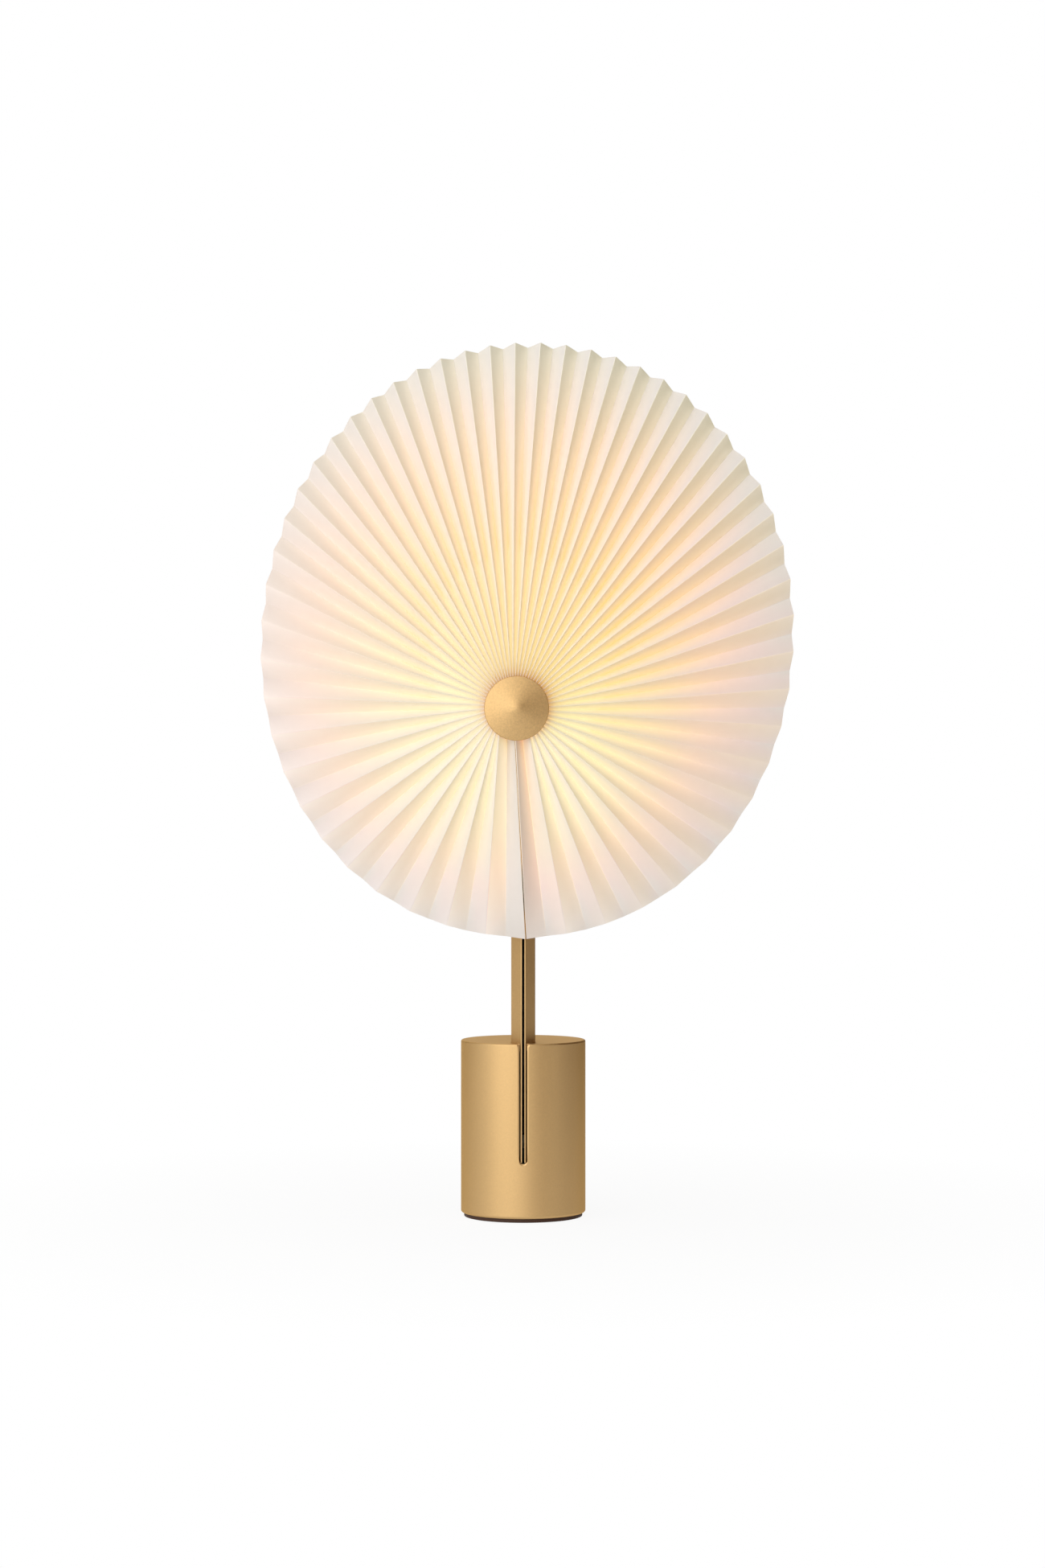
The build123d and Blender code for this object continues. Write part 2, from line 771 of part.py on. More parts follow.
def retaining_nut():
    nut_y = web_y - spring_t - spring_rise
    face = Plane.XZ.offset(-nut_y) * Pos(hub_x, hub_z) * RegularPolygon(nut_af / 2, 6, major_radius=False)
    nut = extrude(face, nut_t)
    crown = Rot(-90, 0, 0) * Cone(nut_af / 2, nut_af / 2 + nut_t, nut_t, align=low)
    crown = Pos(hub_x, nut_y - nut_t, hub_z) * crown
    return (nut & crown) - rod(spindle_d / 2, nut_y - nut_t, nut_y)


def hub_cap():
    cap = cone_cover(cap_rise, (core_bore / 2 - turn_fit, cap_plug[0], cap_plug[1]))
    return Pos(hub_x, cap_y, hub_z) * Rot(180, 0, 0) * cap


def oval_radius(angle):
    """Distance from the hub to the rosette's edge. Angles run clockwise from straight down."""
    s, c = sin(radians(oval_lean)), cos(radians(oval_lean))
    near, far = 0.0, oval_long
    for _ in range(40):
        r = (near + far) / 2
        x, z = -r * sin(angle) - oval_off[0], -r * cos(angle) - oval_off[1]
        along = abs(x * s + z * c) / (oval_long / 2)
        across = abs(x * c - z * s) / (oval_short / 2)
        if along ** oval_power + across ** oval_power > 1:
            far = r
        else:
            near = r
    return (near + far) / 2


def fold_angle(number):
    """Angle past the seam at which a fold meets the edge: pleats crowd where the edge is far off."""
    near, far = 0.0, 2 * pi
    for _ in range(40):
        angle = (near + far) / 2
        share = angle / (2 * pi)
        count = pleats * share
        for turn, (sine, cosine) in enumerate(crowding, 1):
            count += sine * sin(turn * angle) + cosine * (1 - cos(turn * angle))
        if count < number:
            near = angle
        else:
            far = angle
    return (near + far) / 2


def fan_angle(index):
    """Angle of a fold where it leaves the hub. The end panels close the gap on either side of the seam."""
    last = 2 * pleats
    if index in (0, last):
        return radians(fan_seam) + (2 * pi if index else 0)
    if index in (1, last - 1):
        return (fan_angle(index - 1) + fan_angle(index + 1)) / 2
    share = index / last
    sway = fan_sway[0] * sin(2 * pi * share) + fan_sway[1] * (1 - cos(2 * pi * share))
    return radians(fan_from + (fan_to - fan_from) * (share + sway))


def fold_line(index):
    """Inner and outer end of one fold, in the plane of the rosette."""
    last = 2 * pleats
    at_edge = radians(seam_turn) + fold_angle(index / 2)
    at_fan = fan_angle(index)
    reach = oval_radius(at_edge)
    if index in (0, last):
        aside = seam_gap / 2 if index == 0 else -seam_gap / 2
        at_edge += aside / reach
        at_fan += aside / fan_r
    crest = 1 if index % 2 == 0 else -1
    open_w = min(panel_w, reach * (fold_angle(index / 2 + 0.25) - fold_angle(max(index / 2 - 0.25, 0))))
    reach += crest * tip_reach * sqrt(max(panel_w ** 2 - open_w ** 2, 0))
    outer = Vector(-reach * sin(at_edge), 0, -reach * cos(at_edge))
    way = (Vector(-fan_r * sin(at_fan), 0, -fan_r * cos(at_fan)) - outer).normalized()
    half = outer.dot(way)
    to_gather = -half - sqrt(half ** 2 - outer.dot(outer) + gather_r ** 2)
    return outer + way * to_gather, outer


def fold_points():
    """Every fold at every station. A panel keeps its width, so a pleat is deep where it is narrow."""
    lines = [fold_line(index) for index in range(2 * pleats + 1)]
    rows = []
    for share in stations:
        flat = [inner * (1 - share) + outer * share for inner, outer in lines]
        gaps = [(b - a).length for a, b in zip(flat, flat[1:])]
        depths = [sqrt(max(panel_w ** 2 - gap ** 2, flattest ** 2)) for gap in gaps]
        row = []
        for index, point in enumerate(flat):
            beside = depths[max(index - 1, 0):index + 1]
            depth = sum(beside) / len(beside)
            crest = -1 if index % 2 == 0 else 1
            row.append(Vector(point.X, crest * depth / 2, point.Z))
        rows.append(row)
    return rows


def panel_normals(rows, k):
    """Normals of the panels at one station, all towards the front."""
    ahead, behind = rows[min(k + 1, len(rows) - 1)], rows[max(k - 1, 0)]
    normals = []
    for j in range(2 * pleats):
        across = rows[k][j + 1] - rows[k][j]
        along = ahead[j] + ahead[j + 1] - behind[j] - behind[j + 1]
        normal = across.cross(along).normalized()
        normals.append(normal if normal.Y < 0 else normal * -1)
    return normals


def sheet_corners(rows, k):
    """Front and back corners of the sheet at one station: blunt outside a fold, mitred inside it."""
    half = sheet_t / 2
    normals = panel_normals(rows, k)
    front, back = [], []
    for j, point in enumerate(rows[k]):
        if j in (0, 2 * pleats):
            normal = normals[min(j, 2 * pleats - 1)] * half
            front.append([point + normal])
            back.append([point - normal])
            continue
        a, b = normals[j - 1], normals[j]
        mitre = (a + b) * (half / (1 + a.dot(b)))
        if j % 2 == 0:
            front.append([point + a * half, point + b * half])
            back.append([point - mitre])
        else:
            front.append([point + mitre])
            back.append([point - a * half, point - b * half])
    return front, back


def fold_curves(side_corners, j):
    """Curves along one fold, from the hub to the edge: one inside the fold, two outside it."""
    return [Edge.make_spline([row[j][q] for row in side_corners]) for q in range(len(side_corners[0][j]))]


def edge_faces(front, back):
    """Faces that close the sheet at its inner or outer edge."""
    last = 2 * pleats
    faces = []
    for j in range(last):
        near = Edge.make_line(front[j][-1], front[j + 1][0])
        far = Edge.make_line(back[j][-1], back[j + 1][0])
        faces.append(Face.make_surface_from_curves(near, far))
    for j in range(1, last):
        corner = front[j] + back[j]
        faces.append(Face(Wire([Edge.make_line(corner[q], corner[(q + 1) % 3]) for q in range(3)])))
    return faces


def pleated_shade():
    """Closed sheet: ruled panels between fold curves, sewn along the folds and round the edges."""
    rows = fold_points()
    corners = [sheet_corners(rows, k) for k in range(len(rows))]
    last = 2 * pleats
    faces = edge_faces(*corners[0]) + edge_faces(*corners[-1])
    seams = []
    for side in (0, 1):
        folds = [fold_curves([pair[side] for pair in corners], j) for j in range(last + 1)]
        for fold in folds:
            if len(fold) == 2:
                faces.append(Face.make_surface_from_curves(fold[0], fold[1]))
        for fold, following in zip(folds, folds[1:]):
            faces.append(Face.make_surface_from_curves(fold[-1], following[0]))
        seams.append((folds[0][0], folds[last][0]))
    for front, back in zip(*seams):
        faces.append(Face.make_surface_from_curves(front, back))
    return Pos(hub_x, shade_y, hub_z) * Solid(Shell(faces))


def led_lead():
    """Lead from the driver's connector up the stem and round the bend to the light's board."""
    start = Vector(0, driver_y - board_t - connector[2] / 2, connector_z + connector[1])
    points = [
        start,
        start + Vector(0, 0, lead_rise_low),
        Vector(0, stem_mid_y, stem_foot + stem_open_h - lead_below_open),
        Vector(0, stem_mid_y, hub_z - block_d / 2 + lead_rise),
        Vector(0, floor_y - led_board_t, hub_z - block_d / 2 + lead_rise),
    ]
    runs = [(b - a).length for a, b in zip(points, points[1:])]
    radii = []
    for k in (1, 2):
        turn = radians((points[k] - points[k - 1]).get_angle(points[k + 1] - points[k]))
        radii.append(bend_share * min(runs[k - 1], runs[k]) / tan(turn / 2))
    radii.append(lead_turn)
    path = FilletPolyline(*points, radius=radii)
    lead = sweep(Plane(start, z_dir=(0, 0, 1)) * Circle(lead_d / 2), path)
    expected = pi * lead_d ** 2 / 4 * path.length
    print("lead length", round(path.length, 1), "radii", [round(r, 1) for r in radii])
    print("lead volume", round(lead.volume, 1), "of", round(expected, 1))
    return lead


pieces = (
    foot_pad, base_plate, ballast_weight, tie_screws, base_shell, stem_socket, socket_screws,
    stem_set_screws, stem, cell_holder, battery_cells, cell_tabs, cell_retainer, retainer_pad,
    charge_board, charge_parts, usb_c_inlet, light_pipe, switch_body, switch_plunger, power_button,
    driver_board, driver_parts, lead_connector, led_lead, head_block, led_housing, housing_screws,
    led_board, led_emitters, diffuser_ring, rear_cap, hub_spindle, friction_washer, hub_core,
    front_clamp_ring, disc_spring, retaining_nut, hub_cap, pleated_shade,
)
for piece in pieces:
    save(piece.__name__, piece())
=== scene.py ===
import json
from math import cos, exp, pi, radians, sin, sqrt

import bpy
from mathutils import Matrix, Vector

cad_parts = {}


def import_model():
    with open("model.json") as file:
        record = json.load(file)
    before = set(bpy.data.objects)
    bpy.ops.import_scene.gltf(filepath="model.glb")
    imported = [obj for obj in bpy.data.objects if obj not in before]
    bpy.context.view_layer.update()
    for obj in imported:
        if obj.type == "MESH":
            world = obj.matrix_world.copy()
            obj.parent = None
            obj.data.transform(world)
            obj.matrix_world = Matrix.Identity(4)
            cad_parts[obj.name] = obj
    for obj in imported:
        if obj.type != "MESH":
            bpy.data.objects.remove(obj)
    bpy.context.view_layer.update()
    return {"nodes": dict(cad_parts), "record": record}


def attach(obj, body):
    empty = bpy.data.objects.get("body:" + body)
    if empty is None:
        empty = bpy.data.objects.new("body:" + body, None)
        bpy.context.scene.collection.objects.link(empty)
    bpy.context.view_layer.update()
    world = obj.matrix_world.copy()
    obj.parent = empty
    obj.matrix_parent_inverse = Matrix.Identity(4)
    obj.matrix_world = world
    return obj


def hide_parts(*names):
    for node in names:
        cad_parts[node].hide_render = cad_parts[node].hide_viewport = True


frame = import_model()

# Portable table lamp: the finish of every piece, the pleated rosette, the studio and the camera.
# Metres, in the lamp's own frame: +Z up, the front looks along -Y.
MM = 0.001

# The photograph's view: a level camera in front of the lamp, in pixels of a 1300 x 1950 frame
FRAME_TALL_PX = 1950
FOCAL_PX = 4150
CAMERA_AT = (-0.0003, -1.3944, 0.1802)
SENSOR = 36.0

# The rosette's law, in millimetres as it is drawn. Angles run clockwise from straight down.
HUB_X = -2.7
HUB_Z = 211.0
SHADE_Y = -31.0
OVAL_LONG = 241.8
OVAL_SHORT = 216.8
OVAL_POWER = 2.06
OVAL_LEAN = radians(5.2)
OVAL_OFF = (4.3, 27.6)
SEAM_TURN = radians(-2.3)
PLEATS = 53
PANELS = 2 * PLEATS
PANEL_W = 8.1
SHEET_T = 0.3
GATHER_R = 11.4
FAN_R = 14.8
FAN_FROM = 21.8
FAN_TO = 345.6
FAN_SEAM = 2.2
SEAM_GAP = 0.5
FAN_SWAY = (0.049, -0.011)
CROWDING = ((-3.84, -0.49), (0.78, 0.17), (-0.185, -0.024))
TIP_REACH = 0.12
FLATTEST = 1.2
HALF_PANEL = 0.25  # in pleats
HALVINGS = 40  # steps that close in on an answer

# The rosette's mesh: rows from hub to rim, points across a panel, and how far a fold is rounded
ROWS_ALONG = 44
FOLD_SOFT = 0.05
PANEL_STOPS = (0.0, FOLD_SOFT, 0.5, 1 - FOLD_SOFT)
FOLD_PULL = 0.024
SMOOTH_UNDER = radians(28)

# The rosette's painted light in red, green and blue, painted as emission on the laminate for the lamp's
# light from behind the sheet, with painted key light and painted shade: the whole that is seen, less what
# the room's light gives
LAMINATE = (0.80, 0.755, 0.71)
GLOW_STEPS = (15.0, 60.0, 120.0)  # distances from the hub, for the next line and for the back
WHOLE_COLOURS = ((1.06, 0.86, 0.51), (1.06, 0.745, 0.46), (0.65, 0.60, 0.44))
WHOLE_FACING = (0.10, 0.08, 0.19)  # painted key light: more where a panel faces the key light
WHOLE_LEFT = (0.01, 0.02, 0.045)  # painted light: more on the left
WHOLE_DOWN = (0.09, 0.14, 0.14)  # painted light: more below the hub
WHOLE_DOWN_FAR = (-0.25, -0.20, -0.15)  # how that has changed at DOWN_FAR_AT from the hub
DOWN_FAR_AT = 100.0
WHOLE_MOST = (0.98, 0.845, 0.66)
PAINTED_CAP_SHADE = (0.05, 0.12, 0.07)  # painted shade: less beside the hub cap
PAINTED_CAP_SHADE_FADE = 2.5  # distance in which the cap's painted shade fades
PAINTED_CAP_FOLD_SHADE = 0.35  # painted shade: share of the light that the cap keeps from the deep folds above it
KEPT = 0.9  # share of its light that a shut pleat keeps between its panels
# Painted glow on the back, where the lamp's light falls on it
PAINTED_BACK_GLOW = ((0.66, 0.50, 0.25), (0.50, 0.365, 0.17), (0.14, 0.10, 0.05))
ROOM_TINT = (1.0, 0.90, 0.80)
ROOM_EVEN = (0.133, 1.352, -1.172)  # times powers of how far open the pleat is
ROOM_FACING = 0.479  # more where an open panel faces the key light
ROOM_DEEP = (-0.415, 0.56)  # change from front fold to back fold in a shut pleat, and what opening adds
KEY_WAY = Vector((-0.66, -1.02, 0.21)).normalized()

# Painted shadow of the stem: shares of the painted light behind that the stem lets by, on the panels beside
# the seam, and on the next ones, which are painted lighter
STEM_SHADOW_LEFT = (0.1, 0.05, 0.05)
STEM_SHADOW_RIGHT = ((0.3, 0.15, 0.05), (0.75, 0.4, 0.15))
STEM_SHADOW_NEXT = (1.2, 1.1, 1.05)

# The laminate's weave and gloss
WEAVE_PITCH = 2600.0
WEAVE_HEIGHT = 0.02
WEAVE_WANDER = 0.8
WEAVE_BUMP = 0.25
SLUB_SCALE = 260.0
THREAD_SHARE = 0.5
THREAD_MOST = 1.5
THREAD_DIM = 0.97
THREAD_BRIGHT = 1.02
LAMINATE_ROUGHNESS = 0.62
LAMINATE_SPECULAR = 0.25

# The grain that all other finishes share
GRAIN_DETAIL = 3.0
GRAIN_BUMP = 0.35
MOTTLE_SCALE = 35.0
MOTTLE_SHARE = 0.4
GRAIN_MIDDLE = 0.7
COAT_GLOSS = 0.2

# Lacquered metal, and the painted shade inside the stem's slit: its colour, half the slit's width, and how
# far back its lips and its back wall are
CHAMPAGNE = (0.595, 0.392, 0.178)
EDGE_TINT = (0.74, 0.58, 0.36)
SLIT_PAINTED_SHADE = (0.03, 0.012, 0.003)
SLIT_HALF = 0.5
SLIT_FRONT = -25.15
SLIT_BACK = -13.0

# The light behind the rosette
LIT_COLOUR = (1.0, 0.72, 0.36)
LIT_STRENGTH = 0.9

# The studio: the world, the floor and how much of its own shading the floor keeps near the lamp
WHITE = (1, 1, 1, 1)
WORLD_LIGHT = 0.6
FLOOR_WIDE = 12
FLOOR_PALE = (0.9, 0.9, 0.9)
MATT = 0.9
SHADOW_FROM = 0.03
SHADOW_TO = 0.3
SHADOW_WHITE = 0.92

# Soft lights: place, size and power
LIGHTS = {
    "key": ((-0.66, -1.02, 0.38), (1.15, 1.4), 9.0),
    "top_fill": ((0.1, -0.95, 0.85), (0.6, 0.4), 0.5),
    "front_fill": ((0.14, -1.95, 0.3), (1.1, 1.3), 3.2),
}
LIGHTS_AIM = (0, 0, 0.18)

# Boards that the metal sees: place, size and colour
CARDS = {
    "front_card": ((0.50, -0.80, 0.28), (0.75, 1.2), (0.40, 0.27, 0.095)),
    "side_card": ((0.62, 0.25, 0.28), (1.6, 2.0), (0.11, 0.05, 0.008)),
    "back_card": ((-0.80, 0.42, 0.28), (0.9, 1.2), (0.72, 0.66, 0.57)),
}
CARDS_AIM = (0, 0, 0.15)


def deselect():
    for thing in bpy.context.selected_objects:
        thing.select_set(False)
    bpy.context.view_layer.objects.active = None


def make_active(thing):
    deselect()
    thing.select_set(True)
    bpy.context.view_layer.objects.active = thing


# Node trees
def node(tree, kind, **settings):
    made = tree.nodes.new(kind)
    for key, value in settings.items():
        setattr(made, key, value)
    return made


def math_node(tree, operation, *values):
    """Output of a Math node. A number is set on its socket, and another node's output is linked to it."""
    made = node(tree, "ShaderNodeMath", operation=operation)
    for socket, value in zip(made.inputs, values):
        if isinstance(value, (int, float)):
            socket.default_value = value
        else:
            tree.links.new(value, socket)
    return made.outputs[0]


def bump_node(tree, strength, distance, height):
    """Normal from a height, with a plain strength and a linked distance."""
    bump = node(tree, "ShaderNodeBump")
    bump.inputs["Strength"].default_value = strength
    tree.links.new(distance, bump.inputs["Distance"])
    tree.links.new(height, bump.inputs["Height"])
    return bump.outputs["Normal"]


FLOAT = "NodeSocketFloat"
COLOR = "NodeSocketColor"
VECTOR = "NodeSocketVector"


def group_tree(name, inputs, outputs):
    """Empty shader group with named sockets."""
    tree = bpy.data.node_groups.new(name, "ShaderNodeTree")
    for label, kind, value in inputs:
        socket = tree.interface.new_socket(name=label, in_out="INPUT", socket_type=kind)
        if value is not None:
            socket.default_value = value
    for label, kind in outputs:
        tree.interface.new_socket(name=label, in_out="OUTPUT", socket_type=kind)
    return tree, tree.nodes.new("NodeGroupInput"), tree.nodes.new("NodeGroupOutput")


def grain_group():
    """Fine even grain: it shifts the colour and the gloss a little and roughens the surface."""
    tree, given, out = group_tree(
        "fine_grain",
        [("Color", COLOR, None), ("Spread", FLOAT, 0.1), ("Scale", FLOAT, 900.0), ("Gloss", FLOAT, 0.4),
         ("Gloss Spread", FLOAT, 0.1), ("Height", FLOAT, 0.00003), ("Stretch", VECTOR, (1, 1, 1))],
        [("Color", COLOR), ("Roughness", FLOAT), ("Normal", VECTOR)],
    )
    link = tree.links.new
    place = node(tree, "ShaderNodeTexCoord")
    stretch = node(tree, "ShaderNodeVectorMath", operation="MULTIPLY")
    link(place.outputs["Object"], stretch.inputs[0])
    link(given.outputs["Stretch"], stretch.inputs[1])
    fine = node(tree, "ShaderNodeTexNoise")
    fine.inputs["Detail"].default_value = GRAIN_DETAIL
    link(stretch.outputs[0], fine.inputs["Vector"])
    link(given.outputs["Scale"], fine.inputs["Scale"])
    broad = node(tree, "ShaderNodeTexNoise")
    broad.inputs["Scale"].default_value = MOTTLE_SCALE
    link(stretch.outputs[0], broad.inputs["Vector"])
    blend = math_node(tree, "MULTIPLY_ADD", broad.outputs["Fac"], MOTTLE_SHARE, fine.outputs["Fac"])
    centred = math_node(tree, "SUBTRACT", blend, GRAIN_MIDDLE)
    shade = math_node(tree, "MULTIPLY_ADD", centred, given.outputs["Spread"], 1.0)
    colour = node(tree, "ShaderNodeVectorMath", operation="SCALE")
    link(given.outputs["Color"], colour.inputs[0])
    link(shade, colour.inputs["Scale"])
    link(colour.outputs[0], out.inputs["Color"])
    gloss = math_node(tree, "MULTIPLY_ADD", centred, given.outputs["Gloss Spread"], given.outputs["Gloss"])
    link(gloss, out.inputs["Roughness"])
    normal = bump_node(tree, GRAIN_BUMP, given.outputs["Height"], fine.outputs["Fac"])
    link(normal, out.inputs["Normal"])
    return tree


def weave_group():
    """Fine weave under the laminate, laid along the strip by its own UV map."""
    tree, given, out = group_tree(
        "laminate_weave",
        [("Pitch", FLOAT, WEAVE_PITCH), ("Height", FLOAT, WEAVE_HEIGHT * MM)],
        [("Threads", FLOAT), ("Normal", VECTOR)],
    )
    link = tree.links.new
    place = node(tree, "ShaderNodeUVMap", uv_map="strip")
    threads = []
    for way in ("X", "Y"):
        wave = node(tree, "ShaderNodeTexWave", bands_direction=way)
        wave.inputs["Distortion"].default_value = WEAVE_WANDER
        wave.inputs["Detail"].default_value = 1.0
        link(place.outputs[0], wave.inputs["Vector"])
        link(given.outputs["Pitch"], wave.inputs["Scale"])
        threads.append(wave.outputs["Fac"])
    both = math_node(tree, "MULTIPLY", *threads)
    slub = node(tree, "ShaderNodeTexNoise")
    slub.inputs["Scale"].default_value = SLUB_SCALE
    link(place.outputs[0], slub.inputs["Vector"])
    mixed = math_node(tree, "MULTIPLY_ADD", both, THREAD_SHARE, slub.outputs["Fac"])
    link(mixed, out.inputs["Threads"])
    link(bump_node(tree, WEAVE_BUMP, given.outputs["Height"], mixed), out.inputs["Normal"])
    return tree


GRAIN = grain_group()
WEAVE = weave_group()


# Finishes
def blank_material(name):
    material = bpy.data.materials.new(name)
    material.use_nodes = True
    tree = material.node_tree
    return material, tree, tree.nodes["Principled BSDF"]


def grained(name, colour, gloss, metallic=0.0, spread=0.12, scale=900.0, gloss_spread=0.12,
            height=0.03, stretch=(1, 1, 1), coat=0.0, edge=(1, 1, 1)):
    """Finish with a fine grain. Scale is about how many grains lie in a metre. Height is in millimetres."""
    material, tree, surface = blank_material(name)
    grain = node(tree, "ShaderNodeGroup", node_tree=GRAIN)
    grain.inputs["Color"].default_value = (*colour, 1)
    grain.inputs["Spread"].default_value = spread
    grain.inputs["Scale"].default_value = scale
    grain.inputs["Gloss"].default_value = gloss
    grain.inputs["Gloss Spread"].default_value = gloss_spread
    grain.inputs["Height"].default_value = height * MM
    grain.inputs["Stretch"].default_value = stretch
    for socket, target in (("Color", "Base Color"), ("Roughness", "Roughness"), ("Normal", "Normal")):
        tree.links.new(grain.outputs[socket], surface.inputs[target])
    surface.inputs["Metallic"].default_value = metallic
    surface.inputs["Coat Weight"].default_value = coat
    surface.inputs["Coat Roughness"].default_value = COAT_GLOSS
    surface.inputs["Specular Tint"].default_value = (*edge, 1)
    return material


def lacquered(name, gloss=0.46, spread=0.18, height=0.02):
    """Satin champagne lacquer over blasted metal."""
    return grained(name, CHAMPAGNE, gloss, 0.9, spread, 1500, 0.10, height, edge=EDGE_TINT)


def slit_profile():
    """The same lacquer on the stem, with nearly black painted shade inside its slit, between the lips and
    the back wall.
    """
    material = lacquered("champagne_profile")
    tree = material.node_tree
    link = tree.links.new
    surface = tree.nodes["Principled BSDF"]
    place = node(tree, "ShaderNodeTexCoord")
    axes = node(tree, "ShaderNodeSeparateXYZ")
    link(place.outputs["Object"], axes.inputs[0])
    aside = math_node(tree, "ABSOLUTE", axes.outputs["X"])
    between = math_node(tree, "LESS_THAN", aside, SLIT_HALF * MM)
    behind_lips = math_node(tree, "GREATER_THAN", axes.outputs["Y"], SLIT_FRONT * MM)
    before_wall = math_node(tree, "LESS_THAN", axes.outputs["Y"], SLIT_BACK * MM)
    inside = math_node(tree, "MULTIPLY", math_node(tree, "MULTIPLY", between, behind_lips), before_wall)
    # Nearly black painted shade inside the slit
    slit_shade = node(tree, "ShaderNodeMix", data_type="RGBA")
    slit_shade.inputs["B"].default_value = (*SLIT_PAINTED_SHADE, 1)
    link(inside, slit_shade.inputs["Factor"])
    link(surface.inputs["Base Color"].links[0].from_socket, slit_shade.inputs["A"])
    link(slit_shade.outputs["Result"], surface.inputs["Base Color"])
    return material


def opal():
    """Diffuser over the light: lit from inside, so it gives its own warm light."""
    material = grained("opal_diffuser", (0.86, 0.80, 0.66), 0.4, 0.0, 0.05, 900)
    surface = material.node_tree.nodes["Principled BSDF"]
    surface.inputs["Emission Color"].default_value = (*LIT_COLOUR, 1)
    surface.inputs["Emission Strength"].default_value = LIT_STRENGTH
    return material


def laminate():
    """Ivory laminate. Its attribute holds painted light on each side: emission for the lamp's light from
    behind the sheet, with painted key light and painted shade, besides the room's light.
    """
    material, tree, surface = blank_material("pleated_laminate")
    link = tree.links.new
    painted_glow = node(tree, "ShaderNodeAttribute", attribute_name="painted_glow")
    weave = node(tree, "ShaderNodeGroup", node_tree=WEAVE)
    thread = node(tree, "ShaderNodeMapRange")
    thread.inputs["From Max"].default_value = THREAD_MOST
    thread.inputs["To Min"].default_value = THREAD_DIM
    thread.inputs["To Max"].default_value = THREAD_BRIGHT
    link(weave.outputs["Threads"], thread.inputs["Value"])
    body = node(tree, "ShaderNodeRGB")
    body.outputs[0].default_value = (*LAMINATE, 1)
    for colour, target in ((body.outputs[0], "Base Color"), (painted_glow.outputs["Color"], "Emission Color")):
        woven = node(tree, "ShaderNodeVectorMath", operation="SCALE")
        link(colour, woven.inputs[0])
        link(thread.outputs["Result"], woven.inputs["Scale"])
        link(woven.outputs[0], surface.inputs[target])
    link(weave.outputs["Normal"], surface.inputs["Normal"])
    surface.inputs["Emission Strength"].default_value = 1.0
    surface.inputs["Roughness"].default_value = LAMINATE_ROUGHNESS
    surface.inputs["Specular IOR Level"].default_value = LAMINATE_SPECULAR
    return material


def finishes():
    """One finish for each material slot: name, colour, gloss, metal, and the grain's spread and scale.

    The grain of drawn and machined metal is finer along one axis."""
    fine_x, fine_y, fine_z = (6, 1, 1), (1, 8, 1), (1, 1, 8)
    return {
        "champagne_metal": lacquered("satin_champagne"),
        "champagne_stem": slit_profile(),
        "foot_brown": grained("brown_foot_rubber", (0.045, 0.014, 0.003), 0.7, 0.0, 0.2, 1200),
        "plate_steel": grained("zinc_plate", (0.52, 0.52, 0.50), 0.35, 1.0, 0.15, 300),
        "ballast_iron": grained("blackened_iron", (0.05, 0.05, 0.055), 0.55, 0.7, 0.3, 500, height=0.08),
        "screw_steel": grained("screw_steel", (0.50, 0.50, 0.51), 0.3, 1.0, 0.1, 1800),
        "socket_alloy": grained("machined_alloy", (0.62, 0.63, 0.64), 0.32, 1.0, 0.1, 900, stretch=fine_z),
        "spindle_steel": grained("ground_steel", (0.60, 0.60, 0.61), 0.22, 1.0, 0.08, 1500, stretch=fine_y),
        "nut_brass": grained("turned_brass", (0.72, 0.50, 0.18), 0.28, 1.0, 0.1, 1200),
        "washer_fibre": grained("washer_fibre", (0.74, 0.70, 0.60), 0.6, 0.0, 0.15, 1500),
        "core_white": grained("moulded_white", (0.78, 0.76, 0.70), 0.45, 0.0, 0.05, 1800),
        "head_bronze": grained("bronze_paint", (0.10, 0.055, 0.025), 0.4, 0.6, 0.1, 1500),
        "board_green": grained("green_laminate", (0.012, 0.085, 0.035), 0.3, 0.0, 0.2, 350),
        "board_white": grained("white_laminate", (0.80, 0.80, 0.78), 0.35, 0.0, 0.05, 700),
        "chip_black": grained("moulded_chip", (0.02, 0.02, 0.022), 0.5, 0.0, 0.2, 1500),
        "emitter_warm": grained("phosphor", (0.90, 0.62, 0.14), 0.3, 0.0, 0.1, 1500),
        "diffuser_opal": opal(),
        "cell_sleeve": grained("heat_shrink", (0.02, 0.07, 0.17), 0.25, 0.0, 0.1, 600, coat=0.4),
        "tab_nickel": grained("nickel_strip", (0.58, 0.56, 0.50), 0.3, 1.0, 0.1, 900, stretch=fine_x),
        "holder_black": grained("moulded_black", (0.025, 0.025, 0.028), 0.55, 0.0, 0.2, 1500),
        "pad_foam": grained("closed_foam", (0.05, 0.05, 0.055), 0.85, 0.0, 0.4, 700, height=0.15),
        "inlet_steel": grained("drawn_steel", (0.56, 0.56, 0.57), 0.28, 1.0, 0.1, 900),
        "pipe_clear": grained("clear_pipe", (0.82, 0.86, 0.86), 0.12, 0.0, 0.04, 900, coat=0.5),
        "switch_grey": grained("moulded_grey", (0.06, 0.06, 0.065), 0.45, 0.0, 0.15, 1500),
        "lead_sleeve": grained("lead_sleeve", (0.02, 0.014, 0.01), 0.5, 0.0, 0.1, 900),
        "connector_ivory": grained("moulded_ivory", (0.74, 0.68, 0.50), 0.4, 0.0, 0.08, 1500),
    }


def dress_nodes():
    """Each piece takes the finish of its slot. The hub cap's lacquer is duller than the drum's."""
    made = finishes()
    dull = lacquered("dull_champagne", 0.52, 0.5, 0.06)
    for row in frame["record"]["subparts"]:
        if row["material_slot"] in made:
            mesh = frame["nodes"][row["node"]].data
            mesh.materials.clear()
            mesh.materials.append(dull if row["node"] == "hub_cap" else made[row["material_slot"]])


